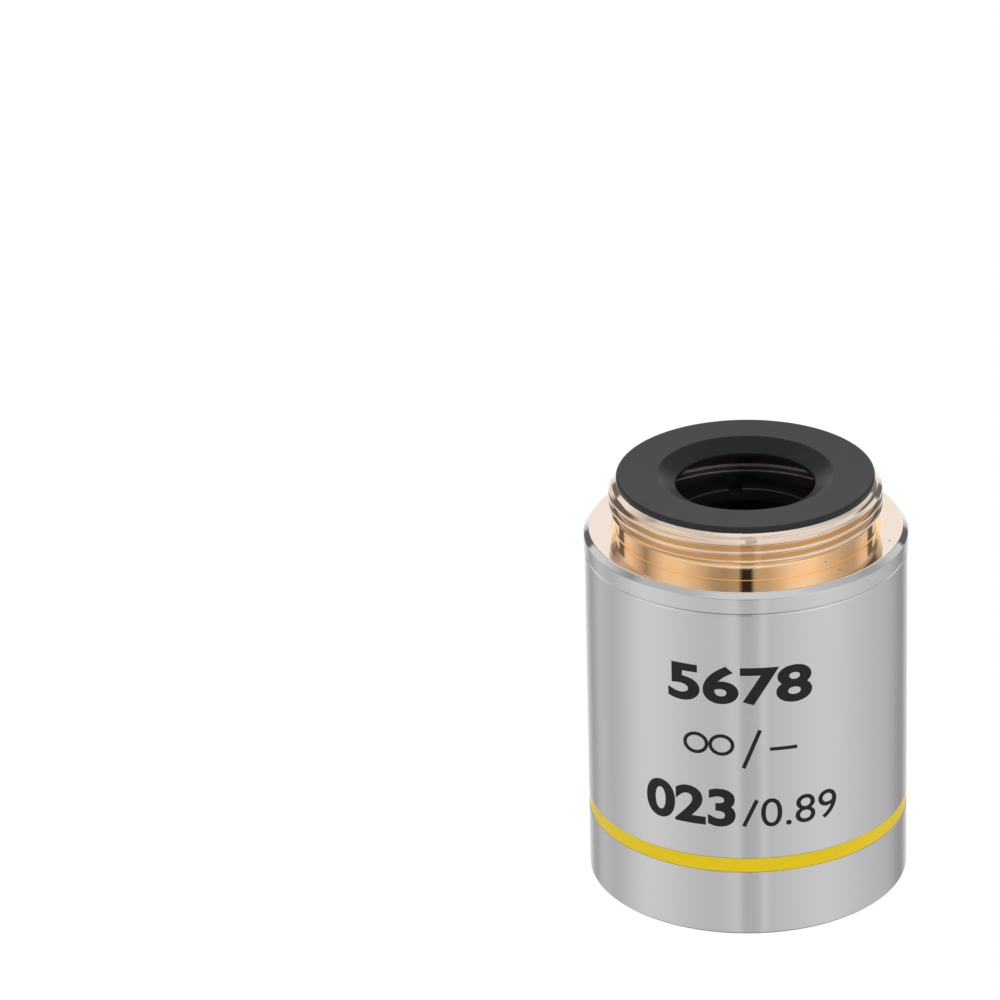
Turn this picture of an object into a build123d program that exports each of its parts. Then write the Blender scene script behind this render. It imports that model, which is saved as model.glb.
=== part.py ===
"""A ten-power infinity microscope objective, standing on its nose with its mounting thread upwards.

The optical axis is +Z. The origin is the centre of the nose plane, where the outer sleeve stands.
From the outside in: a threaded mount with its flange, an outer sleeve with a colour ring, a nose ring
and a rear stop ring. Inside hangs a lens barrel, which holds a stack of lens cells and spacers.
All sizes are millimetres.
"""

import os
from math import copysign, sqrt

from build123d import *

# Threaded mount, from its thread inwards and outwards
thread_diameter = 20.2
thread_length = 3.73
thread_chamfer = 0.56
relief_width = 1.2
relief_depth = 0.5
shoulder_width = 1.9
flange_chamfer = 0.4
flange_height = 1.65
joint_chamfer = 0.1
mount_wall = 0.7
mount_bore_step = 0.2
mount_upper_bore_height = 0.77
spigot_length = 4.5
spigot_relief_width = 0.8
spigot_relief_depth = 0.25

# Outer sleeve
sleeve_step = 0.05
sleeve_wall = 1.75
sleeve_rim_wall = 1.3
sleeve_nose_wall = 1.45
spigot_end_gap = 0.2
sleeve_foot_chamfer = 0.1

# Colour ring, which fills a turned groove in the sleeve
colour_ring_height = 5.19
colour_ring_width = 1.15
colour_ring_depth = 0.3
colour_ring_recess = 0.03

# Nose ring, whose cone clears the light on its way to the front lens
nose_inset = 0.15
nose_ring_height = 2.85
nose_ring_land = 0.5
nose_rim_width = 0.75
nose_opening_gap = 0.45
nose_slot_width = 1.2
nose_slot_depth = 0.5

# Rear stop ring, pushed into the mount behind the thread
stop_rim_height = 0.45
stop_edge_chamfer = 0.1
stop_boss_length = 1.78
stop_boss_wall = 0.9
stop_hole_radius = 5.15
stop_bevel_width = 1.35
stop_bevel_depth = 0.78
stop_web_land = 0.3

# Lens barrel and the rings that hold it and its stack
barrel_gap = 0.2
barrel_lip_height = 0.7
barrel_lip_width = 1.27
barrel_wall = 1.45
barrel_waist_depth = 0.35
barrel_foot_chamfer = 0.4
barrel_thread_length = 6.0
barrel_rim_height = 1.48
lock_ring_height = 1.0
lock_ring_rise = 0.3
lock_ring_width = 3.15
lock_ring_chamfer = 0.06
retaining_ring_height = 1.3
retaining_ring_width = 1.7
retaining_slot_width = 1.0
retaining_slot_depth = 0.7
spanner_slots = 2
spanner_slot_width = 1.0
spanner_slot_depth = 0.4
spanner_slot_inset = 1.1
spanner_slot_angle = 97.7

# Lens cells and spacers
cell_chamfer = 0.12
cell_seat_width = 0.5
cell_margin = 0.2
front_seat_height = 0.5
rear_seat_height = 0.4
front_spacer_height = 0.95
middle_spacer_height = 1.3
spacer_width = 1.0
stop_disc_height = 0.4
stop_disc_overhang = 0.92

# Lenses: the cell wall outside each one, its edge or centre thickness and the radii of its faces.
# A positive face radius bulges outwards and a negative one is hollow.
front_cell_wall = 1.17
front_lens_edge = 1.6
front_lens_faces = (-45.0, 18.5)
second_cell_wall = 0.97
second_lens_edge = 1.2
second_lens_faces = (31.0, 21.0)
doublet_cell_wall = 1.27
doublet_crown_edge = 1.0
doublet_crown_faces = (22.0, 9.5)
doublet_flint_centre = 1.2
doublet_rear_face = -50.0
rear_cell_wall = 1.87
rear_flint_centre = 0.9
rear_flint_faces = (-21.0, -9.2)
rear_crown_edge = 1.0
rear_crown_face = 20.0

# Clearances: turned parts that slide together, and the cement between two lenses
slip_fit = 0.03
cement = 0.02

# Radii that follow from the driving sizes
thread_radius = thread_diameter / 2
relief_radius = thread_radius - relief_depth
mount_upper_bore = relief_radius - mount_wall
mount_bore = mount_upper_bore - mount_bore_step
flange_radius = thread_radius + shoulder_width
sleeve_radius = flange_radius - sleeve_step
sleeve_bore = sleeve_radius - sleeve_wall
sleeve_rim_bore = sleeve_radius - sleeve_rim_wall
sleeve_nose_bore = sleeve_radius - sleeve_nose_wall
spigot_radius = sleeve_rim_bore - slip_fit
barrel_radius = mount_bore - slip_fit
barrel_bore = barrel_radius - barrel_wall
barrel_lip_bore = barrel_bore - barrel_lip_width
nose_opening_radius = barrel_lip_bore + nose_opening_gap
cell_radius = barrel_bore - slip_fit
front_lens_radius = cell_radius - front_cell_wall
second_lens_radius = cell_radius - second_cell_wall
doublet_radius = cell_radius - doublet_cell_wall
rear_lens_radius = cell_radius - rear_cell_wall
stop_disc_hole_radius = rear_lens_radius - stop_disc_overhang


def sag(face_radius, height):
    """Depth of a spherical face between its vertex and a given height off the axis."""
    return abs(face_radius) - sqrt(face_radius**2 - height**2)


def bulge(face_radius, height):
    """How far a face's vertex stands proud of its edge at that height: negative where it is hollow."""
    return copysign(sag(face_radius, height), face_radius)


# Heights of the stack above the nose plane, worked out from the front lens backwards
nose_ring_top = nose_inset + nose_ring_height
barrel_foot = nose_ring_top + barrel_gap

front_cell_foot = barrel_foot + barrel_lip_height
front_lens_foot = front_cell_foot + front_seat_height
front_lens_head = front_lens_foot + front_lens_edge
front_cell_head = front_lens_head + bulge(front_lens_faces[1], front_lens_radius) + cell_margin

second_cell_foot = front_cell_head + front_spacer_height
second_lens_foot = second_cell_foot + cell_margin + bulge(second_lens_faces[0], second_lens_radius)
second_lens_head = second_lens_foot + second_lens_edge
second_cell_head = second_lens_head + bulge(second_lens_faces[1], second_lens_radius) + cell_margin

doublet_cell_foot = second_cell_head + middle_spacer_height
crown_foot = doublet_cell_foot + cell_margin + bulge(doublet_crown_faces[0], doublet_radius)
crown_head = crown_foot + doublet_crown_edge
flint_foot = crown_head + cement
flint_head = (
    flint_foot
    + bulge(doublet_crown_faces[1], doublet_radius)
    + doublet_flint_centre
    - bulge(doublet_rear_face, doublet_radius)
)
doublet_cell_head = flint_head + cell_margin

stop_disc_head = doublet_cell_head + stop_disc_height
rear_flint_foot = stop_disc_head + rear_seat_height
rear_flint_head = (
    rear_flint_foot
    - bulge(rear_flint_faces[0], rear_lens_radius)
    + rear_flint_centre
    - bulge(rear_flint_faces[1], rear_lens_radius)
)
rear_crown_foot = rear_flint_head + cement
rear_crown_head = rear_crown_foot + rear_crown_edge
rear_cell_head = rear_crown_head + bulge(rear_crown_face, rear_lens_radius) + cell_margin

retaining_ring_head = rear_cell_head + retaining_ring_height
barrel_head = retaining_ring_head + barrel_rim_height
lock_ring_head = barrel_head + lock_ring_height
shoulder = lock_ring_head - lock_ring_rise

# Heights of the mount and its stop ring, from the shoulder
flange_foot = shoulder - flange_height
spigot_foot = flange_foot - spigot_length
relief_head = shoulder + relief_width
mount_head = shoulder + thread_length
stop_head = mount_head + stop_rim_height
stop_boss_foot = mount_head - stop_boss_length
stop_web_foot = stop_head - stop_bevel_depth - stop_web_land


def save(solid, name):
    """Labels a finished piece and writes it to its own file."""
    solid.label = name
    export_step(solid, f"parts/{name}.step")
    size = solid.bounding_box().size
    print(f"{name}: {solid.volume:.1f} mm3, {size.X:.2f} x {size.Y:.2f} x {size.Z:.2f}")


def plain_ring(outer, inner, foot, head, edge):
    """A turned ring with the same small chamfer on its four edges."""
    with BuildPart() as ring:
        with BuildSketch(Plane.XY.offset(foot)):
            Circle(outer)
            Circle(inner, mode=Mode.SUBTRACT)
        extrude(amount=head - foot)
        chamfer(ring.edges().filter_by(GeomType.CIRCLE), length=edge)
    return ring.part


def cell(foot, seat, head, seat_radius, glass_radius):
    """A lens cell: a ring whose bore takes the glass from behind, down to the lip that seats it."""
    with BuildPart() as ring:
        with BuildSketch(Plane.XY.offset(foot)):
            Circle(cell_radius)
            Circle(seat_radius, mode=Mode.SUBTRACT)
        extrude(amount=head - foot)
        with BuildSketch(Plane.XY.offset(seat)):
            Circle(glass_radius + slip_fit)
        extrude(amount=head - seat, mode=Mode.SUBTRACT)
        ends = ring.faces().filter_by(Axis.Z).sort_by(Axis.Z)
        chamfer([ends[0].outer_wire().edges(), ends[-1].edges()], length=cell_chamfer)
    return ring.part


def lens(radius, foot, head, lower_face, upper_face):
    """A lens turned about the axis, from its edge band and the radii of its two spherical faces."""
    lower_vertex = foot - bulge(lower_face, radius)
    upper_vertex = head + bulge(upper_face, radius)
    halfway = radius / 2
    lower_middle = lower_vertex + bulge(lower_face, halfway)
    upper_middle = upper_vertex - bulge(upper_face, halfway)
    with BuildPart() as glass:
        with BuildSketch(Plane.XZ):
            with BuildLine():
                Line((0, lower_vertex), (0, upper_vertex))
                ThreePointArc((0, upper_vertex), (halfway, upper_middle), (radius, head))
                Line((radius, head), (radius, foot))
                ThreePointArc((radius, foot), (halfway, lower_middle), (0, lower_vertex))
            make_face()
        revolve(axis=Axis.Z)
    return glass.part


def seat_height(glass_foot, face_radius, glass_radius, seat_radius):
    """Height of the lip that the rim of a bulging face rests on."""
    return glass_foot - (sag(face_radius, glass_radius) - sag(face_radius, seat_radius))


os.makedirs("parts", exist_ok=True)

# The mount is one turned piece: spigot, flange, polished shoulder, thread relief and mounting thread.
# Its bore is wider behind a small step, where the stop ring's boss goes in.
with BuildPart() as mount:
    with BuildSketch(Plane.XZ):
        with BuildLine():
            Polyline(
                (mount_bore, spigot_foot),
                (spigot_radius, spigot_foot),
                (spigot_radius, flange_foot),
                (flange_radius, flange_foot),
                (flange_radius, shoulder),
                (relief_radius, shoulder),
                (relief_radius, relief_head),
                (thread_radius, relief_head),
                (thread_radius, mount_head),
                (mount_upper_bore, mount_head),
                (mount_upper_bore, shoulder + mount_upper_bore_height),
                (mount_bore, shoulder + mount_upper_bore_height),
                close=True,
            )
        make_face()
    revolve(axis=Axis.Z)
    turned_edges = mount.edges().filter_by(GeomType.CIRCLE)
    flange_edges = turned_edges.filter_by(lambda e: abs(e.radius - flange_radius) < slip_fit)
    thread_edges = turned_edges.filter_by(lambda e: abs(e.radius - thread_radius) < slip_fit)
    chamfer(thread_edges.sort_by(Axis.Z)[-1], length=thread_chamfer)
    chamfer(flange_edges.sort_by(Axis.Z)[-1], length=flange_chamfer)
    chamfer(flange_edges.sort_by(Axis.Z)[0], length=joint_chamfer)
    with BuildSketch(Plane.XY.offset(flange_foot)):
        Circle(spigot_radius)
        Circle(spigot_radius - spigot_relief_depth, mode=Mode.SUBTRACT)
    extrude(amount=-spigot_relief_width, mode=Mode.SUBTRACT)
save(mount.part, "mount")

# The sleeve is a cover that screws on to the mount's spigot. It carries the markings and the groove
# for the colour ring, and its foot is the plane that the objective stands on.
with BuildPart() as sleeve:
    with BuildSketch():
        Circle(sleeve_radius)
        Circle(sleeve_bore, mode=Mode.SUBTRACT)
    extrude(amount=flange_foot)
    with BuildSketch(Plane.XY.offset(spigot_foot - spigot_end_gap)):
        Circle(sleeve_rim_bore)
    extrude(amount=flange_foot, mode=Mode.SUBTRACT)
    with BuildSketch():
        Circle(sleeve_nose_bore)
    extrude(amount=nose_ring_top, mode=Mode.SUBTRACT)
    rims = sleeve.faces().filter_by(Axis.Z).sort_by(Axis.Z)
    chamfer(rims[-1].outer_wire().edges(), length=joint_chamfer)
    chamfer(rims[0].outer_wire().edges(), length=sleeve_foot_chamfer)
    with BuildSketch(Plane.XY.offset(colour_ring_height)):
        Circle(sleeve_radius)
        Circle(sleeve_radius - colour_ring_depth, mode=Mode.SUBTRACT)
    extrude(amount=colour_ring_width, mode=Mode.SUBTRACT)
save(sleeve.part, "sleeve")

# The colour ring is the enamel that fills the groove, a hair below the sleeve's surface.
with BuildPart() as colour_ring:
    with BuildSketch(Plane.XY.offset(colour_ring_height)):
        Circle(sleeve_radius - colour_ring_recess)
        Circle(sleeve_radius - colour_ring_depth, mode=Mode.SUBTRACT)
    extrude(amount=colour_ring_width)
save(colour_ring.part, "colour_ring")

# The nose ring screws into the sleeve's foot against a step. Its cone opens towards the specimen,
# and a spanner turns it by two slots across its rim.
nose_ring_radius = sleeve_nose_bore - slip_fit
with BuildPart() as nose_ring:
    with BuildSketch(Plane.XZ):
        with BuildLine():
            Polyline(
                (nose_ring_radius, nose_inset),
                (nose_ring_radius, nose_ring_top),
                (nose_opening_radius, nose_ring_top),
                (nose_opening_radius, nose_ring_top - nose_ring_land),
                (nose_ring_radius - nose_rim_width, nose_inset),
                close=True,
            )
        make_face()
    revolve(axis=Axis.Z)
    with BuildSketch(Plane.XY.offset(nose_inset)):
        Rectangle(2 * nose_ring_radius, nose_slot_width)
    extrude(amount=nose_slot_depth, mode=Mode.SUBTRACT)
save(nose_ring.part, "nose_ring")

# The rear stop ring covers the end of the thread and bounds the light that leaves the objective.
# Its boss fits the mount's bore and is hollowed from below, and a cone opens the hole upwards.
stop_boss_radius = mount_upper_bore - slip_fit
stop_boss_bore = stop_boss_radius - stop_boss_wall
stop_rim_radius = thread_radius - thread_chamfer
with BuildPart() as rear_stop_ring:
    with BuildSketch(Plane.XZ):
        with BuildLine():
            Polyline(
                (stop_boss_radius, stop_boss_foot),
                (stop_boss_radius, mount_head),
                (stop_rim_radius, mount_head),
                (stop_rim_radius, stop_head),
                (stop_hole_radius + stop_bevel_width, stop_head),
                (stop_hole_radius, stop_head - stop_bevel_depth),
                (stop_hole_radius, stop_web_foot),
                (stop_boss_bore, stop_web_foot),
                (stop_boss_bore, stop_boss_foot),
                close=True,
            )
        make_face()
    revolve(axis=Axis.Z)
    top_edges = rear_stop_ring.edges().filter_by(GeomType.CIRCLE).group_by(Axis.Z)[-1]
    chamfer(top_edges.sort_by(SortBy.RADIUS)[-1], length=stop_edge_chamfer)
save(rear_stop_ring.part, "rear_stop_ring")

# The lens barrel screws up into the mount by its upper stretch, which sets the focal plane.
# Its lip at the front end carries the whole stack of cells.
barrel_waist_radius = barrel_radius - barrel_waist_depth
barrel_thread_foot = barrel_head - barrel_thread_length
with BuildPart() as lens_barrel:
    with BuildSketch(Plane.XZ):
        with BuildLine():
            Polyline(
                (barrel_lip_bore, barrel_foot),
                (barrel_waist_radius, barrel_foot),
                (barrel_waist_radius, barrel_thread_foot),
                (barrel_radius, barrel_thread_foot),
                (barrel_radius, barrel_head),
                (barrel_bore, barrel_head),
                (barrel_bore, front_cell_foot),
                (barrel_lip_bore, front_cell_foot),
                close=True,
            )
        make_face()
    revolve(axis=Axis.Z)
    foot_edges = lens_barrel.edges().filter_by(GeomType.CIRCLE).group_by(Axis.Z)[0]
    chamfer(foot_edges.sort_by(SortBy.RADIUS)[-1], length=barrel_foot_chamfer)
save(lens_barrel.part, "lens_barrel")

# The lock ring jams the lens barrel's thread once the focal plane is set. Two slots in its rear
# face, open to its bore, take the pins of a spanner.
slot_centre = barrel_radius - spanner_slot_inset - lock_ring_width / 2
with BuildPart() as lock_ring:
    with BuildSketch(Plane.XY.offset(barrel_head)):
        Circle(barrel_radius)
        Circle(barrel_radius - lock_ring_width, mode=Mode.SUBTRACT)
    extrude(amount=lock_ring_height)
    rear_rims = lock_ring.edges().filter_by(GeomType.CIRCLE).group_by(Axis.Z)[-1]
    chamfer(rear_rims, length=lock_ring_chamfer)
    with BuildSketch(Plane.XY.offset(lock_ring_head)):
        with PolarLocations(slot_centre, spanner_slots, start_angle=spanner_slot_angle):
            Rectangle(lock_ring_width, spanner_slot_width)
    extrude(amount=-spanner_slot_depth, mode=Mode.SUBTRACT)
save(lock_ring.part, "lock_ring")

# The retaining ring screws down inside the barrel and clamps the stack. Its slots cross the ring.
with BuildPart() as retaining_ring:
    with BuildSketch(Plane.XY.offset(rear_cell_head)):
        Circle(cell_radius)
        Circle(cell_radius - retaining_ring_width, mode=Mode.SUBTRACT)
    extrude(amount=retaining_ring_height)
    with BuildSketch(Plane.XY.offset(retaining_ring_head)):
        Rectangle(2 * cell_radius, retaining_slot_width)
    extrude(amount=-retaining_slot_depth, mode=Mode.SUBTRACT)
save(retaining_ring.part, "retaining_ring")

# Front group: a single lens, hollow towards the specimen.
save(
    lens(front_lens_radius, front_lens_foot, front_lens_head, *front_lens_faces),
    "front_lens",
)
save(
    cell(
        front_cell_foot,
        front_lens_foot,
        front_cell_head,
        front_lens_radius - cell_seat_width,
        front_lens_radius,
    ),
    "front_cell",
)
save(
    plain_ring(cell_radius, cell_radius - spacer_width, front_cell_head, second_cell_foot, cell_chamfer),
    "front_spacer",
)

# Second group: a single lens that bulges on both faces.
second_seat_radius = second_lens_radius - cell_seat_width
save(
    lens(second_lens_radius, second_lens_foot, second_lens_head, *second_lens_faces),
    "second_lens",
)
save(
    cell(
        second_cell_foot,
        seat_height(second_lens_foot, second_lens_faces[0], second_lens_radius, second_seat_radius),
        second_cell_head,
        second_seat_radius,
        second_lens_radius,
    ),
    "second_cell",
)
save(
    plain_ring(
        cell_radius, cell_radius - spacer_width, second_cell_head, doublet_cell_foot, cell_chamfer
    ),
    "middle_spacer",
)

# Third group: a crown and a flint cemented together, the flint hollow on its rear face.
doublet_seat_radius = doublet_radius - cell_seat_width
save(
    lens(doublet_radius, crown_foot, crown_head, *doublet_crown_faces),
    "doublet_crown",
)
save(
    lens(doublet_radius, flint_foot, flint_head, -doublet_crown_faces[1], doublet_rear_face),
    "doublet_flint",
)
save(
    cell(
        doublet_cell_foot,
        seat_height(crown_foot, doublet_crown_faces[0], doublet_radius, doublet_seat_radius),
        doublet_cell_head,
        doublet_seat_radius,
        doublet_radius,
    ),
    "doublet_cell",
)

# The aperture stop is a thin disc between the last two cells.
with BuildPart() as aperture_stop:
    with BuildSketch(Plane.XY.offset(doublet_cell_head)):
        Circle(cell_radius)
        Circle(stop_disc_hole_radius, mode=Mode.SUBTRACT)
    extrude(amount=stop_disc_height)
save(aperture_stop.part, "aperture_stop")

# Rear group: a flint hollow on both faces, with a crown cemented into its rear face.
save(
    lens(rear_lens_radius, rear_flint_foot, rear_flint_head, *rear_flint_faces),
    "rear_flint",
)
save(
    lens(rear_lens_radius, rear_crown_foot, rear_crown_head, -rear_flint_faces[1], rear_crown_face),
    "rear_crown",
)
save(
    cell(
        stop_disc_head,
        rear_flint_foot,
        rear_cell_head,
        rear_lens_radius - cell_seat_width,
        rear_lens_radius,
    ),
    "rear_cell",
)

print(f"shoulder at {shoulder:.2f}, overall height {stop_head:.2f}")
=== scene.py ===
# %% [markdown]
# # Dressing a microscope objective
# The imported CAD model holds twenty-one turned pieces: metal rings, cells and six lenses, all on one
# upright axis with the nose on the floor. This lesson gives them their finishes. It cuts the fine
# thread, rounds the edges that catch the light, prints the marks on the sleeve, and lights the whole
# as a catalogue picture.

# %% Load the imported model
import math

import bmesh
import bpy
from mathutils import Matrix, Vector


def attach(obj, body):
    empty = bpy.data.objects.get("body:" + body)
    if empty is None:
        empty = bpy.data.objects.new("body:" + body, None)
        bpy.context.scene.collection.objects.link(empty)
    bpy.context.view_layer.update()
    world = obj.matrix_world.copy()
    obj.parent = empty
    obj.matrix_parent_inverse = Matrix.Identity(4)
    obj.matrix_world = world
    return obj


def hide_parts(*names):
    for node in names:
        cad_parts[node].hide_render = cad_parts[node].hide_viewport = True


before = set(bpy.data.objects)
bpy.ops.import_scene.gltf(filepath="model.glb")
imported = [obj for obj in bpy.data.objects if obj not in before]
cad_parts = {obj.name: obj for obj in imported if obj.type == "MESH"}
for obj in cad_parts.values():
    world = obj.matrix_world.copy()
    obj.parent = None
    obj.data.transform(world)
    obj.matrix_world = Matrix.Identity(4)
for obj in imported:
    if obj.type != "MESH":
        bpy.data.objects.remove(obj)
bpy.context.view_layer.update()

MM = 0.001
WELD = 1e-7

# %% [markdown]
# ## Turned pieces
# Every visible piece came off a lathe, so it is one outline spun round the axis. The CAD mesh is a
# little coarse and its corners are razor sharp, while a real corner has a tiny radius that shows as a
# bright line. Drawing each outline again would risk another size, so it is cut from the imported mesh
# with a plane, its corners are rounded by a few hundredths of a millimetre, and it is spun anew.


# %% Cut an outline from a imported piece
STRAIGHT = 0.01     # radians


def outline_of(node):
    """One side of a turned piece's section, in the XZ plane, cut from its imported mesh."""
    outline = bmesh.new()
    outline.from_mesh(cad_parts[node].data)
    bmesh.ops.remove_doubles(outline, verts=outline.verts, dist=WELD)
    everything = outline.verts[:] + outline.edges[:] + outline.faces[:]
    bmesh.ops.bisect_plane(outline, geom=everything, dist=WELD, plane_co=(0, 0, 0), plane_no=(0, 1, 0),
                           clear_inner=True, clear_outer=True)
    far_side = [v for v in outline.verts if v.co.x < 0]
    bmesh.ops.delete(outline, geom=far_side, context="VERTS")
    bmesh.ops.dissolve_verts(outline, verts=[v for v in outline.verts if runs_straight(v)])
    print(node, "outline has", len(outline.verts), "corners")
    return outline


def runs_straight(vertex):
    """True where an outline passes through a vertex without turning."""
    if len(vertex.link_edges) != 2:
        return False
    back, on = (edge.other_vert(vertex).co - vertex.co for edge in vertex.link_edges)
    return back.angle(-on) < STRAIGHT


# %% [markdown]
# Smooth shading bends the light over a whole face when one corner of it is rounded, and a mirror shows
# that at once. A point close to either end of each long side holds the middle flat.

# %% Round its corners and spin it
STEPS = 320
HOLD = 0.06 * MM
SMOOTH_UP_TO = math.radians(34)


def soften(outline, radius, corners=None):
    """Rounds the corners of an outline while it is still a wire."""
    bmesh.ops.bevel(outline, geom=corners or outline.verts[:], offset=radius, offset_type="OFFSET",
                    segments=3, profile=0.5, affect="VERTICES", material=-1)


def hold(outline):
    """Adds a point near both ends of each long side, so that smooth shading bends only at corners."""
    for side in [edge for edge in outline.edges if edge.calc_length() > 4 * HOLD]:
        start, end = side.verts
        point = bmesh.utils.edge_split(side, start, HOLD / side.calc_length())[1]
        rest = next(edge for edge in point.link_edges if end in edge.verts)
        bmesh.utils.edge_split(rest, end, HOLD / rest.calc_length())


def turn(outline):
    """Spins an outline once round the axis and points the faces outwards."""
    hold(outline)
    bmesh.ops.spin(outline, geom=outline.verts[:] + outline.edges[:], cent=(0, 0, 0), axis=(0, 0, 1),
                   dvec=(0, 0, 0), angle=math.tau, steps=STEPS, use_merge=True)
    bmesh.ops.remove_doubles(outline, verts=outline.verts, dist=WELD)
    bmesh.ops.recalc_face_normals(outline, faces=outline.faces)


def piece_from(form, name, replaced=()):
    """Makes an object of a bmesh, rides it on the only body and hides the imported pieces it stands for.
    """
    open_edges = sum(not edge.is_manifold for edge in form.edges)
    mesh = bpy.data.meshes.new(name)
    form.to_mesh(mesh)
    form.free()
    mesh.shade_smooth()
    mesh.set_sharp_from_angle(angle=SMOOTH_UP_TO)
    piece = bpy.data.objects.new(name, mesh)
    bpy.context.scene.collection.objects.link(piece)
    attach(piece, "root")
    if replaced:
        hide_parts(*replaced)
    print(name, len(mesh.vertices), "vertices,", open_edges, "open edges")
    return piece


# %% The sleeve, its colour ring and the rear stop ring
EDGE_RADIUS = 0.04 * MM
turned = {}
for node, name, slot in (("sleeve", "turned_sleeve", "satin_plating"),
                         ("colour_ring", "enamel_band", "ring_enamel"),
                         ("rear_stop_ring", "turned_stop_ring", "black_finish")):
    form = outline_of(node)
    soften(form, EDGE_RADIUS)
    turn(form)
    turned[node] = piece_from(form, name, [node])

# %% [markdown]
# ## Rings with spanner slots
# The lock ring, the retaining ring and the nose ring are turned too, but slots cross them, so an
# outline alone can't make them. Their packed triangles are joined into whole faces again, and every
# sharp edge is bevelled by a few hundredths of a millimetre.


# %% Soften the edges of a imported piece
FLAT_UP_TO = math.radians(0.5)
SHARP_FROM = 0.5    # radians


def softened(node, width):
    """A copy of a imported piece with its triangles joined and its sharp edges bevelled."""
    copy = bmesh.new()
    copy.from_mesh(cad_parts[node].data)
    bmesh.ops.remove_doubles(copy, verts=copy.verts, dist=WELD)
    bmesh.ops.dissolve_limit(copy, angle_limit=FLAT_UP_TO, verts=copy.verts, edges=copy.edges)
    sharp = [edge for edge in copy.edges
             if len(edge.link_faces) == 2 and edge.calc_face_angle() > SHARP_FROM]
    bmesh.ops.bevel(copy, geom=sharp, offset=width, offset_type="OFFSET", segments=3, profile=0.5,
                    affect="EDGES", clamp_overlap=True, material=-1)
    bmesh.ops.recalc_face_normals(copy, faces=copy.faces)
    return copy


slotted = [piece_from(softened(node, EDGE_RADIUS), name, [node])
           for node, name in (("lock_ring", "slotted_lock_ring"),
                              ("retaining_ring", "slotted_retaining_ring"),
                              ("nose_ring", "slotted_nose_ring"))]

# %% [markdown]
# ## The mounting thread
# The thread is a ridge that winds up round the spigot, 36 turns to the inch, with rounded crests and
# roots. It could be a stack of rings, but then no crest would climb, and the eye finds that at once
# at the ends. A spin that also lifts makes the real helix: one pitch of the profile goes round several
# times. The lathe's top chamfer and the relief groove then cut it off, which here is done by holding
# every point inside the two cones of those cuts.

# %% Profile of one pitch
PITCH = 25.4 / 36 * MM
CREST = 10.1 * MM
ROOT = CREST - 0.6403 * PITCH
SHARP_TIP = 0.16 * PITCH
TIP_CUT = 0.264 * PITCH
CREST_AT_FRONT = 31.07 * MM
TURNS = 6
TURNS_BELOW = 4


def thread_profile(crest_height):
    """A wire from the middle of one flank over a crest and a root to the same place a pitch higher."""
    wire = bmesh.new()
    middle = (CREST + ROOT) / 2
    points = ((middle, -PITCH / 4), (CREST + SHARP_TIP, 0), (ROOT - SHARP_TIP, PITCH / 2),
              (middle, PITCH * 3 / 4))
    corners = [wire.verts.new((reach, 0, crest_height + rise)) for reach, rise in points]
    for start, end in zip(corners, corners[1:]):
        wire.edges.new((start, end))
    bmesh.ops.bevel(wire, geom=corners[1:3], offset=TIP_CUT, offset_type="OFFSET", segments=6,
                    profile=0.5, affect="VERTICES", material=-1)
    long_edges = [edge for edge in wire.edges if edge.calc_length() > PITCH / 6]
    bmesh.ops.subdivide_edges(wire, edges=long_edges, cuts=7)
    print("thread profile has", len(wire.verts), "points")
    return wire


# %% Wind it up the spigot
def wind(wire, turns):
    """Spins a wire once round while it climbs by one pitch, then stacks copies of that turn."""
    bmesh.ops.spin(wire, geom=wire.verts[:] + wire.edges[:], cent=(0, 0, 0), axis=(0, 0, 1),
                   dvec=(0, 0, PITCH / STEPS), angle=math.tau, steps=STEPS)
    one_turn = wire.verts[:] + wire.edges[:] + wire.faces[:]
    for number in range(1, turns):
        copy = bmesh.ops.duplicate(wire, geom=one_turn)["geom"]
        risen = [g for g in copy if isinstance(g, bmesh.types.BMVert)]
        bmesh.ops.translate(wire, verts=risen, vec=(0, 0, number * PITCH))


def limit_radius(height):
    """The largest radius that the chamfer above and the relief below leave at a height."""
    return min(spigot_top[0] + spigot_top[1] - height, spigot_foot[0] + height - spigot_foot[1])


ON_CREST = 0.01 * MM
ABOVE_SHOULDER = 29 * MM
mount = outline_of("mount")
crest_corners = [v for v in mount.verts
                 if abs(v.co.x - CREST) < ON_CREST and v.co.z > ABOVE_SHOULDER]
spigot_top, spigot_foot = (
    (edge.other_vert(v).co.x, edge.other_vert(v).co.z)
    for v in sorted(crest_corners, key=lambda v: -v.co.z)
    for edge in v.link_edges if edge.other_vert(v) not in crest_corners)
print("thread from", spigot_foot, "to", spigot_top)

# %% [markdown]
# The wound profile is welded to the rest of the mount along two circles, at the top of the chamfer
# and at the relief, so that the mount is one closed skin. Points past either end slide on to the
# circle, where the weld merges them.

# %% Join the thread to the mount
THREAD_WELD = 0.002 * MM
first_crest = CREST_AT_FRONT + PITCH / 4 - TURNS_BELOW * PITCH
thread = thread_profile(first_crest)
wind(thread, TURNS)
for vertex in thread.verts:
    vertex.co.z = min(max(vertex.co.z, spigot_foot[1]), spigot_top[1])
    reach = math.hypot(vertex.co.x, vertex.co.y)
    scale = min(reach, limit_radius(vertex.co.z)) / reach
    vertex.co.x *= scale
    vertex.co.y *= scale
bmesh.ops.remove_doubles(thread, verts=thread.verts, dist=THREAD_WELD)

bmesh.ops.delete(mount, geom=crest_corners, context="VERTS")
soften(mount, EDGE_RADIUS, [v for v in mount.verts if len(v.link_edges) == 2])
turn(mount)
wound = bpy.data.meshes.new("wound_thread")
thread.to_mesh(wound)
thread.free()
mount.from_mesh(wound)
bpy.data.meshes.remove(wound)
bmesh.ops.remove_doubles(mount, verts=mount.verts, dist=THREAD_WELD)
bmesh.ops.recalc_face_normals(mount, faces=mount.faces)
turned["mount"] = piece_from(mount, "mount_with_thread", ["mount"])

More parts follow.
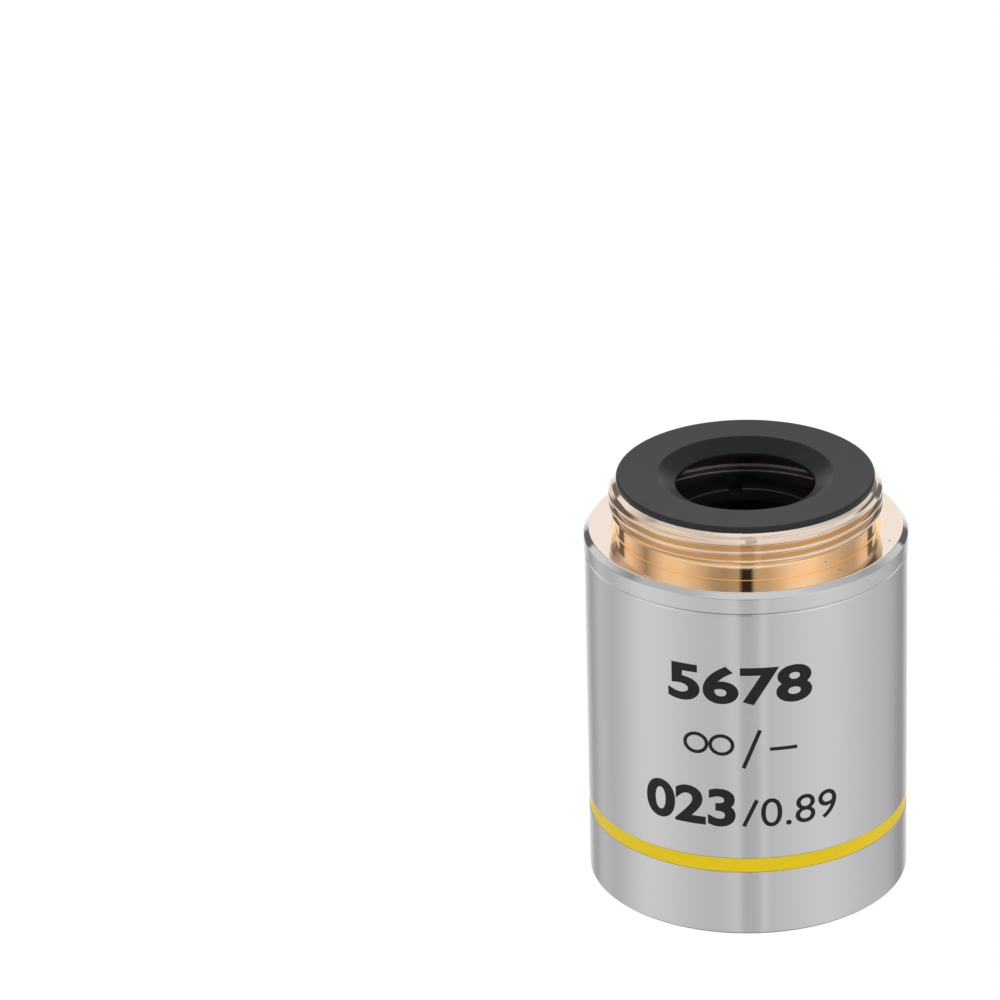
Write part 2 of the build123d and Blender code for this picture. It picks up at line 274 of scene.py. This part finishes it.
# %% [markdown]
# ## The marks
# The sleeve carries three short lines of black marks, printed flat on the metal. Here they are plain
# figures and strokes, which name nothing. A picture would print them at once, but a real print has a
# thickness and a crisp edge at any distance. So they are text made into a mesh, laid flat with its
# width in arc millimetres, cut into narrow upright strips so that it can bend, and rolled on to the
# sleeve.

# %% Lay out flat text
SLEEVE_RADIUS = 11.95 * MM
PRINT_HEIGHT = 0.015 * MM
TEXT_WELD = 1e-5


def flat_text(words, weight, left, right, bottom, top):
    """Figures as flat faces, fitted to a box that is given in arc and height, in millimetres."""
    curve = bpy.data.curves.new(words, "FONT")
    curve.body = words
    curve.offset = weight
    curve.resolution_u = 8
    text = bpy.data.objects.new(words, curve)
    mesh = bpy.data.meshes.new_from_object(text)
    bpy.data.objects.remove(text)
    bpy.data.curves.remove(curve)
    flat = bmesh.new()
    flat.from_mesh(mesh)
    bpy.data.meshes.remove(mesh)
    bmesh.ops.remove_doubles(flat, verts=flat.verts, dist=TEXT_WELD)
    low = Vector((min(v.co.x for v in flat.verts), min(v.co.y for v in flat.verts), 0))
    high = Vector((max(v.co.x for v in flat.verts), max(v.co.y for v in flat.verts), 0))
    bmesh.ops.translate(flat, verts=flat.verts, vec=-low)
    bmesh.ops.scale(flat, verts=flat.verts, vec=((right - left) * MM / (high - low).x,
                                                 (top - bottom) * MM / (high - low).y, 1))
    bmesh.ops.translate(flat, verts=flat.verts, vec=(left * MM, bottom * MM, 0))
    return flat


def flat_stroke(start, end, width):
    """A straight stroke between two points that are given in arc and height, in millimetres."""
    start = Vector((*start, 0)) * MM
    end = Vector((*end, 0)) * MM
    along = end - start
    flat = bmesh.new()
    bmesh.ops.create_grid(flat, x_segments=1, y_segments=1, size=0.5)
    bmesh.ops.scale(flat, verts=flat.verts, vec=(along.length, width * MM, 1))
    bmesh.ops.rotate(flat, verts=flat.verts, cent=(0, 0, 0),
                     matrix=Matrix.Rotation(math.atan2(along.y, along.x), 3, "Z"))
    bmesh.ops.translate(flat, verts=flat.verts, vec=(start + end) / 2)
    return flat


def flat_ring(centre, width, height, stroke):
    """An oval ring about a point that is given in arc and height, in millimetres."""
    flat = bmesh.new()
    for inward in (0, stroke):
        circle = bmesh.ops.create_circle(flat, cap_ends=False, segments=64, radius=0.5)["verts"]
        bmesh.ops.scale(flat, verts=circle, vec=((width - 2 * inward) * MM, (height - 2 * inward) * MM, 1))
    bmesh.ops.bridge_loops(flat, edges=flat.edges[:])
    bmesh.ops.translate(flat, verts=flat.verts, vec=(centre[0] * MM, centre[1] * MM, 0))
    return flat


# %% Roll it on to the sleeve
STRIP = 0.25 * MM


def roll_on(name, flats):
    """Cuts flat shapes into strips, gives them thickness and bends them round the sleeve."""
    whole = bmesh.new()
    for flat in flats:
        mesh = bpy.data.meshes.new("flat")
        flat.to_mesh(mesh)
        flat.free()
        whole.from_mesh(mesh)
        bpy.data.meshes.remove(mesh)
    left = min(v.co.x for v in whole.verts)
    right = max(v.co.x for v in whole.verts)
    for cut in range(1, math.ceil((right - left) / STRIP)):
        everything = whole.verts[:] + whole.edges[:] + whole.faces[:]
        bmesh.ops.bisect_plane(whole, geom=everything, dist=WELD, plane_no=(1, 0, 0),
                               plane_co=(left + cut * STRIP, 0, 0))
    bmesh.ops.translate(whole, verts=whole.verts, vec=(0, 0, -PRINT_HEIGHT))
    print_face = bmesh.ops.extrude_face_region(whole, geom=whole.faces[:], use_keep_orig=True)
    raised = [g for g in print_face["geom"] if isinstance(g, bmesh.types.BMVert)]
    bmesh.ops.translate(whole, verts=raised, vec=(0, 0, 2 * PRINT_HEIGHT))
    for vertex in whole.verts:
        angle = vertex.co.x / SLEEVE_RADIUS
        reach = SLEEVE_RADIUS + vertex.co.z
        vertex.co = (reach * math.sin(angle), -reach * math.cos(angle), vertex.co.y)
    bmesh.ops.recalc_face_normals(whole, faces=whole.faces)
    return piece_from(whole, name)


BOLD = 0.032
REGULAR = 0.0
STROKE = 0.27
SLASH = 0.30
marks = [
    roll_on("upper_marks", [flat_text("5678", BOLD, -5.97, 4.88, 19.02, 22.12)]),
    roll_on("middle_marks", [flat_ring((-3.84, 15.70), 1.93, 1.75, STROKE),
                             flat_ring((-1.91, 15.70), 1.93, 1.75, STROKE),
                             flat_stroke((-0.29, 13.86), (0.93, 16.95), SLASH),
                             flat_stroke((1.65, 15.36), (3.70, 15.36), STROKE)]),
    roll_on("lower_marks", [flat_text("023", BOLD, -8.0, -0.9, 8.95, 12.08),
                            flat_stroke((-0.29, 9.05), (0.67, 11.19), SLASH),
                            flat_text("0.89", REGULAR, 0.97, 6.88, 8.97, 11.29)]),
]

# %% [markdown]
# ## How the finishes are written
# A finish is a sheet of nodes. Wiring them one by one hides the thought, so two small helpers do it:
# a reading is a number that comes out of a node, and sums on readings add the Math nodes, while one
# method of the sheet adds any other node, with its settings first and then its sockets. Its other
# methods are short names for what the finishes share.


# %% Readings and sheets
class Reading:
    """A node's output. Python's arithmetic on it adds Math nodes."""

    def __init__(self, sheet, socket):
        self.sheet = sheet
        self.socket = socket

    def math(self, operation, first, second):
        return self.sheet.node("ShaderNodeMath", {"operation": operation}, {0: first, 1: second})

    def __add__(self, other):
        return self.math("ADD", self, other)

    def __radd__(self, other):
        return self.math("ADD", other, self)

    def __sub__(self, other):
        return self.math("SUBTRACT", self, other)

    def __rsub__(self, other):
        return self.math("SUBTRACT", other, self)

    def __mul__(self, other):
        return self.math("MULTIPLY", self, other)

    def __rmul__(self, other):
        return self.math("MULTIPLY", other, self)

    def __truediv__(self, other):
        return self.math("DIVIDE", self, other)

    def __gt__(self, other):
        return self.math("GREATER_THAN", self, other)

    def __lt__(self, other):
        return self.math("LESS_THAN", self, other)


class Sheet:
    """The node tree of one finish, of the world or of the floor."""

    def __init__(self, owner):
        owner.use_nodes = True
        self.tree = owner.node_tree
        self.tree.nodes.clear()

    def node(self, kind, settings=None, sockets=None, out=0):
        """Adds a node: its settings, then its sockets' values or links. Gives the named output."""
        made = self.tree.nodes.new(kind)
        for name, value in (settings or {}).items():
            if name == "stops":
                fill_ramp(made.color_ramp, value)
            else:
                setattr(made, name, value)
        for key, value in (sockets or {}).items():
            if isinstance(value, Reading):
                self.tree.links.new(value.socket, made.inputs[key])
            else:
                made.inputs[key].default_value = value
        if not made.outputs:
            return None
        if isinstance(out, tuple):
            return [Reading(self, made.outputs[name]) for name in out]
        return Reading(self, made.outputs[out])

    def blend(self, mask, first, second):
        """The first colour where the mask is 0 and the second where it is 1."""
        return self.node("ShaderNodeMix", {"data_type": "RGBA"}, {0: mask, 6: first, 7: second}, out=2)

    def either(self, first, second):
        """1 where one mask or the other is 1."""
        return self.node("ShaderNodeMath", {"operation": "MAXIMUM"}, {0: first, 1: second})

    def position(self):
        """X, Y and Z of the place on the piece, in metres."""
        place = self.node("ShaderNodeTexCoord", out="Object")
        return self.node("ShaderNodeSeparateXYZ", None, {"Vector": place}, out=("X", "Y", "Z"))

    def grain(self, scale, detail=2.0):
        """Noise whose grain differs along X, Y and Z, from Object coordinates."""
        place = self.node("ShaderNodeTexCoord", out="Object")
        stretched = self.node("ShaderNodeMapping", None, {"Vector": place, "Scale": scale})
        return self.node("ShaderNodeTexNoise", None, {"Vector": stretched, "Scale": 1.0, "Detail": detail})

    def bump(self, height, strength, distance=0.00002):
        """A normal that follows a reading as if it were a very fine relief."""
        return self.node("ShaderNodeBump", None,
                         {"Height": height, "Strength": strength, "Distance": distance})

    def surface(self, sockets):
        """Ends the sheet with one Principled shader."""
        shader = self.node("ShaderNodeBsdfPrincipled", None, sockets)
        self.node("ShaderNodeOutputMaterial", None, {"Surface": shader})


def fill_ramp(ramp, stops):
    """Grey stops of a colour ramp, as pairs of place and brightness."""
    for spare in list(ramp.elements)[1:]:
        ramp.elements.remove(spare)
    for number, (place, grey) in enumerate(stops):
        stop = ramp.elements.new(place) if number else ramp.elements[0]
        stop.position = place
        stop.color = (grey, grey, grey, 1)


def wear(piece, material):
    """Gives a piece one finish all over."""
    if not piece.material_slots:
        piece.data.materials.append(material)
    for holder in piece.material_slots:
        holder.material = material


# %% [markdown]
# ## Satin plating
# The sleeve was turned, then plated with dull chromium. The tool leaves rings that are too fine to
# see one by one, and they spread each reflection up and down but hardly sideways, so the studio shows
# as soft upright bands. Anisotropy does that: its tangent runs round the axis, and a quarter turn
# stretches the highlight along it. Noise that is long round the axis and very short along it adds the
# faint rings that do show. The corners on both sides of the joint under the rim are painted a paler
# metal colour: a painted highlight.

# %% Satin plating
RINGS = (60, 60, 9000)
PLATING = (0.62, 0.62, 0.625, 1)
# Paler metal colour for the corners at the joint under the rim: a painted highlight.
EDGE_HIGHLIGHT_PAINT = (0.78, 0.78, 0.785, 1)
SLEEVE_EDGE = 26.21 * MM
RIM_EDGE = 26.47 * MM
plating = bpy.data.materials.new("satin_plating_turned")
sheet = Sheet(plating)
rings = sheet.grain(RINGS, 3.0)
cloud = sheet.grain((180, 180, 180))
tone = (rings - 0.5) * 0.30 + (cloud - 0.5) * 0.25 + 0.5
satin = sheet.blend(tone, (0.59, 0.59, 0.595, 1), (0.65, 0.65, 0.655, 1))
x, y, z = sheet.position()
ridges = sheet.bump(rings, 0.12)
sheet.surface({
    # Above the sleeve's top edge the colour is the painted highlight.
    "Base Color": sheet.blend(z > SLEEVE_EDGE, satin, EDGE_HIGHLIGHT_PAINT),
    "Metallic": 1.0,
    "Roughness": 0.24 + 0.04 * (rings - 0.5),
    "Anisotropic": 1.0,
    "Anisotropic Rotation": 0.25,
    "Normal": ridges,
})
wear(turned["sleeve"], plating)

# %% [markdown]
# ## Gilding and the plated rim
# The mount is brass. Its thread, neck and shoulder keep a bright gold colour, and its rim is plated
# like the sleeve, with a polished chamfer. All are on one piece, so one sheet holds them and masks by
# distance from the axis and by height tell them apart. The gold is painted paler on the crests, the
# lead chamfer and the shoulder, a painted highlight, and painted deeper in the grooves, a painted
# shade. A few tiny dark pits are scattered over it. The bore is dark, with a painted highlight: a
# bright band on its ledge and at its foot.

# %% Where the finishes of the mount meet
BORE_REACH = 9.3 * MM
PALE_HIGHLIGHT_FROM = 9.98 * MM
GOLD_ENDS = 11.61 * MM
RIM_WALL = 11.98 * MM
BORE_FOOT = 28.37 * MM
LEDGE_FOOT = 28.66 * MM
LEDGE_TOP = 28.79 * MM
GROOVE_SHADE_FROM = 29.25 * MM
CHAMFER_FROM = 31.2 * MM
gilding = bpy.data.materials.new("gilding_and_rim")
sheet = Sheet(gilding)
x, y, z = sheet.position()
reach = sheet.node("ShaderNodeMath", {"operation": "SQRT"}, {0: x * x + y * y})
on_rim = reach > GOLD_ENDS
on_rim_wall = reach > RIM_WALL
# The foot of the rim wall, which also takes the painted highlight colour.
rim_edge_highlight = on_rim_wall * (z < RIM_EDGE)
# Crests, shoulder and lead chamfer, which are painted paler: a painted highlight.
highlight_faces = sheet.either(reach > PALE_HIGHLIGHT_FROM, z > CHAMFER_FROM)
in_bore = reach < BORE_REACH
on_ledge = (z > LEDGE_FOOT) * (z < LEDGE_TOP)
# Ledge and foot of the bore, which get a near-white colour: a painted highlight.
bore_edge_highlight = in_bore * sheet.either(on_ledge, z < BORE_FOOT)

# %% Gilding
PIT_SIZE = 0.04
rings = sheet.grain(RINGS, 3.0)
cloud = (sheet.grain((300, 300, 300)) - 0.5) * 0.8 + 0.5
place = sheet.node("ShaderNodeTexCoord", out="Object")
cell = sheet.node("ShaderNodeTexVoronoi", None, {"Vector": place, "Scale": 450.0}, out="Distance")
pit = (cell < PIT_SIZE) * (1 - on_rim)
deep_gold = sheet.blend(cloud, (0.94, 0.66, 0.39, 1), (0.97, 0.70, 0.43, 1))
pale_highlight_gold = sheet.blend(cloud, (0.86, 0.73, 0.625, 1), (0.89, 0.76, 0.655, 1))
# The thread above the neck is painted a darker gold: painted shade in the grooves.
gold = sheet.blend(z > GROOVE_SHADE_FROM, deep_gold, (0.755, 0.545, 0.335, 1))
# Crests, shoulder and lead chamfer take the pale gold: a painted highlight.
gold = sheet.blend(highlight_faces, gold, pale_highlight_gold)
gold = sheet.blend(pit, gold, (0.02, 0.012, 0.01, 1))
outside = sheet.blend(rim_edge_highlight, sheet.blend(on_rim, gold, PLATING), EDGE_HIGHLIGHT_PAINT)
bore = sheet.blend(z > LEDGE_TOP, (0.20, 0.155, 0.14, 1), (0.09, 0.07, 0.062, 1))
# A bright band on the bore's ledge and foot: a painted highlight.
bore = sheet.blend(bore_edge_highlight, bore, (0.95, 0.88, 0.84, 1))
ridges = sheet.bump(rings, 0.05)
sheet.surface({
    "Base Color": sheet.blend(in_bore, outside, bore),
    "Metallic": 1.0,
    "Roughness": 0.06 + 0.18 * on_rim_wall + 0.25 * in_bore + 0.3 * bore_edge_highlight + 0.02 * (rings - 0.5),
    "Anisotropic": 0.95,
    "Anisotropic Rotation": 0.25,
    "Normal": ridges,
})
wear(turned["mount"], gilding)

# %% [markdown]
# ## Black finish
# The stop ring and the inner pieces are blackened brass: a thin, slightly rough skin that is dark
# grey where it mirrors the light behind and nearly black elsewhere. A fine mottle in the roughness
# and the height keeps it from looking like plastic. The stop ring is painted a little paler towards
# the side with the marks and darker at the back: painted light.

# %% Black finish
black = bpy.data.materials.new("blackened_brass")
sheet = Sheet(black)
speck = sheet.grain((9000, 9000, 9000), 4.0)
cloud = sheet.grain((400, 400, 400))
mottle = sheet.bump(speck, 0.25)
x, y, z = sheet.position()
# Painted light: paler towards the front, the side with the marks, and darker at the back.
paler_front_light = 0.35 - y / (26 * MM) + 0.3 * cloud
sheet.surface({
    "Base Color": sheet.blend(paler_front_light, (0.004, 0.004, 0.0045, 1), (0.022, 0.022, 0.024, 1)),
    "Roughness": 0.34 + 0.12 * (speck - 0.5),
    "Specular IOR Level": 0.17,
    "Normal": mottle,
})
wear(turned["rear_stop_ring"], black)

# %% Inner black pieces
hidden_black = bpy.data.materials.new("blackened_inner_pieces")
sheet = Sheet(hidden_black)
rings = sheet.grain(RINGS, 2.0)
ridges = sheet.bump(rings, 0.3)
sheet.surface({
    "Base Color": sheet.blend(rings, (0.010, 0.010, 0.010, 1), (0.018, 0.018, 0.018, 1)),
    "Roughness": 0.35 + 0.1 * (rings - 0.5),
    "Normal": ridges,
})
for node in ("lens_barrel", "front_cell", "front_spacer", "second_cell", "middle_spacer", "doublet_cell",
             "aperture_stop", "rear_cell"):
    wear(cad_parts[node], hidden_black)
for ring in slotted:
    wear(ring, hidden_black)

# %% [markdown]
# ## Enamel
# The yellow band is enamel run into a groove and wiped level. It has a smooth, slightly uneven skin.

# %% Enamel
enamel = bpy.data.materials.new("yellow_enamel")
sheet = Sheet(enamel)
cloud = sheet.grain((500, 500, 900))
skin = sheet.bump(cloud, 0.2, 0.00003)
sheet.surface({
    "Base Color": sheet.blend(cloud, (0.68, 0.49, 0.002, 1), (0.73, 0.53, 0.004, 1)),
    "Roughness": 0.32 + 0.1 * (cloud - 0.5),
    "Specular IOR Level": 0.2,
    "Normal": skin,
})
wear(turned["colour_ring"], enamel)

# %% [markdown]
# ## Printing ink
# The marks are a flat black ink with a dull skin.

# %% Printing ink
ink = bpy.data.materials.new("printing_ink")
sheet = Sheet(ink)
cloud = sheet.grain((4000, 4000, 4000))
skin = sheet.bump(cloud, 0.15, 0.00001)
sheet.surface({
    "Base Color": sheet.blend(cloud, (0.008, 0.008, 0.009, 1), (0.013, 0.013, 0.014, 1)),
    "Roughness": 0.5 + 0.1 * (cloud - 0.5),
    "Specular IOR Level": 0.2,
    "Normal": skin,
})
for mark in marks:
    wear(mark, ink)

# %% [markdown]
# ## Lens glass
# The lenses carry a thin coating that takes most of the reflection away and leaves a faint violet
# one. Here it is a tint on the reflection, the same all over.

# %% Lens glass
glass = bpy.data.materials.new("coated_lens_glass")
sheet = Sheet(glass)
dust = sheet.grain((2500, 2500, 2500), 3.0)
sheet.surface({
    "Base Color": (0.97, 0.99, 0.98, 1),
    "Roughness": 0.01 + 0.05 * (dust > 0.68),
    "IOR": 1.52,
    "Transmission Weight": 1.0,
    "Specular Tint": (0.45, 0.35, 0.75, 1),
})
for node in ("front_lens", "second_lens", "doublet_crown", "doublet_flint", "rear_flint", "rear_crown"):
    wear(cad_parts[node], glass)

# %% [markdown]
# ## The studio
# Polished and satin metal show the room more than themselves. The room here is the world: pale
# panels stand all round, with a narrow gap at the camera and two dark joints between the panels
# behind. Brightness goes by the direction of the compass, once each for the walls, the ceiling and
# the table below, and walls and table meet at the horizon. The ceiling has a narrow dim strip
# straight overhead. Straight down it is dark, because there the objective stands in its own light.
# The camera itself sees plain white.

# %% Panels by compass
WALLS = ((-180, 1.0), (-154, 1.0), (-152.5, 0.17), (-138.5, 0.17), (-137, 0.9), (-125, 0.95),
         (-112, 0.68), (-100, 0.36), (-90, 0.67), (-78, 0.95), (-60, 1.0), (-50, 0.84), (-40, 0.69),
         (-30, 0.49), (-20, 0.41), (-7, 0.5), (-3.4, 0.03), (4.2, 0.03), (8, 0.56), (20, 0.61),
         (30, 0.79), (40, 1.0), (50, 1.1), (60, 1.1), (80, 0.78), (100, 0.55), (112, 0.54),
         (125, 0.85), (137, 0.9), (138.5, 0.17), (152.5, 0.17), (154, 1.0))
CEILING = ((-180, 0.95), (-140, 0.9), (-118, 0.66), (-100, 0.72), (-90, 0.70), (-73, 0.71),
           (-52, 0.72), (-25, 0.95), (0, 0.95), (52, 0.92), (73, 0.78), (90, 0.68), (110, 0.72),
           (140, 0.9))
TABLE = ((-180, 1.2), (-170, 1.18), (-160, 1.14), (-152, 0.55), (-145, 0.27), (-140, 0.52),
         (-130, 0.85), (-120, 0.70), (-112, 0.64), (-100, 0.80), (-80, 1.0), (-60, 0.96),
         (-40, 0.89), (-20, 0.87), (-10, 1.0), (-5.5, 1.02), (-4.5, 0.78), (8.5, 0.81), (9.5, 1.02),
         (14.5, 1.0), (16, 0.76), (17.5, 0.88), (40, 0.95), (60, 0.99), (80, 0.89), (100, 0.78),
         (120, 0.73), (138, 0.47), (145, 0.23), (152, 0.5), (160, 1.1), (172, 1.2))
RAMP_TOP = 1.2

world = bpy.data.worlds.new("studio")
bpy.context.scene.world = world
sheet = Sheet(world)
toward = sheet.node("ShaderNodeTexCoord", out="Generated")
x, y, z = sheet.node("ShaderNodeSeparateXYZ", None, {"Vector": toward}, out=("X", "Y", "Z"))
compass = sheet.node("ShaderNodeMath", {"operation": "ARCTAN2"}, {0: x, 1: -1 * y}) / math.tau + 0.5


def panel_light(panels):
    """Brightness by compass direction, from pairs of degrees and brightness."""
    stops = [(degrees / 360 + 0.5, light / RAMP_TOP) for degrees, light in panels]
    return sheet.node("ShaderNodeValToRGB", {"stops": stops}, {"Fac": compass}) * RAMP_TOP


def rise(start, end):
    """0 below one height and 1 above another, by the sine of the elevation."""
    return sheet.node("ShaderNodeMapRange", {"interpolation_type": "SMOOTHSTEP"},
                      {"Value": z, "From Min": start, "From Max": end})


under = rise(-0.7, -0.85)
above = rise(-0.06, 0.06)
overhead = rise(0.6, 0.72)
lens_gap = rise(0.98, 0.99) * (x > -0.02) * (x < 0.05)
ceiling = panel_light(CEILING) * (1 - 0.6 * lens_gap)
walls = panel_light(WALLS) * (1 - overhead) + ceiling * overhead
room = walls * above + panel_light(TABLE) * (1 - above) * (1 - 0.9 * under)
at_camera = sheet.node("ShaderNodeLightPath", out="Is Camera Ray")
light = sheet.node("ShaderNodeBackground", None,
                   {"Color": (1, 1, 1, 1), "Strength": at_camera + (1 - at_camera) * room})
sheet.node("ShaderNodeOutputWorld", None, {"Surface": light})

# %% [markdown]
# Paint, enamel and the table answer to light from all over the room at once, so two large soft lamps
# at the sides of the camera and one overhead bring them to the level at which a colour shows as it
# is written. The metal mirrors the panels, so the lamps keep out of its reflections.

# %% Soft lamps
LAMP_SIZE = 0.5
LAMP_DISTANCE = 0.7
LAMPS = (("left_lamp", -60, 20, 1.3), ("right_lamp", 55, 20, 1.3), ("top_lamp", 0, 80, 0.7))
for name, compass_degrees, height_degrees, power in LAMPS:
    soft_box = bpy.data.lights.new(name, "AREA")
    soft_box.shape = "DISK"
    soft_box.size = LAMP_SIZE
    soft_box.energy = power
    lamp = bpy.data.objects.new(name, soft_box)
    turn_to = Matrix.Rotation(math.radians(compass_degrees), 4, "Z")
    tilt = Matrix.Rotation(math.radians(90 - height_degrees), 4, "X")
    lamp.matrix_world = turn_to @ tilt @ Matrix.Translation((0, 0, LAMP_DISTANCE))
    lamp.visible_glossy = False
    lamp.visible_camera = False
    bpy.context.scene.collection.objects.link(lamp)

# %% [markdown]
# ## The table
# The objective stands on a plain white table. In the picture the table has to be as white as the
# background right up to the nose, so it glows, and only a little of it answers to light. Mirror-like
# surfaces look through it at the world's own table, which stays even.

# %% The table
GLOW = 0.94
TABLE_REACH = 1.5
TABLE_DROP = 0.02 * MM
form = bmesh.new()
bmesh.ops.create_grid(form, x_segments=1, y_segments=1, size=TABLE_REACH)
mesh = bpy.data.meshes.new("table_top")
form.to_mesh(mesh)
form.free()
table_top = bpy.data.objects.new("table_top", mesh)
table_top.location = (0, 0, -TABLE_DROP)
bpy.context.scene.collection.objects.link(table_top)
table_top.visible_glossy = False
paper = bpy.data.materials.new("white_table")
sheet = Sheet(paper)
seen, through = sheet.node("ShaderNodeLightPath", out=("Is Camera Ray", "Is Transmission Ray"))
fibre = sheet.grain((300, 300, 300))
pale = sheet.blend(fibre, (0.07, 0.07, 0.07, 1), (0.08, 0.08, 0.08, 1))
answer = sheet.node("ShaderNodeBsdfDiffuse", None, {"Color": pale})
glow = sheet.node("ShaderNodeEmission", None, {"Color": (1, 1, 1, 1), "Strength": GLOW})
both = sheet.node("ShaderNodeAddShader", None, {0: answer, 1: glow})
plain = sheet.node("ShaderNodeBsdfDiffuse", None, {"Color": (0.8, 0.8, 0.8, 1)})
shown = sheet.either(seen, through)
mixed = sheet.node("ShaderNodeMixShader", None, {0: shown, 1: plain, 2: both})
sheet.node("ShaderNodeOutputMaterial", None, {"Surface": mixed})
wear(table_top, paper)

# %% [markdown]
# ## The camera
# The photograph is square, and the objective stands in its lower right part. A long lens looks down
# at it by 25 degrees. Its turn is found from two points on the axis whose places in the picture are
# known: one by the shoulder, and the centre of the nose.

# %% The camera
FOCAL_PIXELS = 6115
PICTURE = 1000
SENSOR = 36
camera_at = Vector((0, -408.87, 221.63)) * MM
seen_points = ((Vector((0, 0, 28.1)) * MM, (745.64, 522.33)), (Vector((0, 0, 0)), (748.23, 857.40)))


def frame_of(first, second):
    """Three square directions, the first along one arrow and the second across both."""
    first = first.normalized()
    across = first.cross(second).normalized()
    return Matrix((first, across, first.cross(across))).transposed()


in_world = [point - camera_at for point, _ in seen_points]
in_camera = [Vector(((px - PICTURE / 2) / FOCAL_PIXELS, -(py - PICTURE / 2) / FOCAL_PIXELS, -1))
             for _, (px, py) in seen_points]
facing = frame_of(*in_world) @ frame_of(*in_camera).transposed()
lens = bpy.data.cameras.new("camera")
lens.sensor_width = SENSOR
lens.lens = FOCAL_PIXELS / PICTURE * SENSOR
lens.clip_start = 0.01
camera = bpy.data.objects.new("camera", lens)
camera.matrix_world = Matrix.Translation(camera_at) @ facing.to_4x4()
bpy.context.scene.collection.objects.link(camera)
bpy.context.scene.camera = camera
bpy.context.scene.view_settings.view_transform = "Standard"
print("camera looks along", [round(v, 4) for v in facing @ Vector((0, 0, -1))])
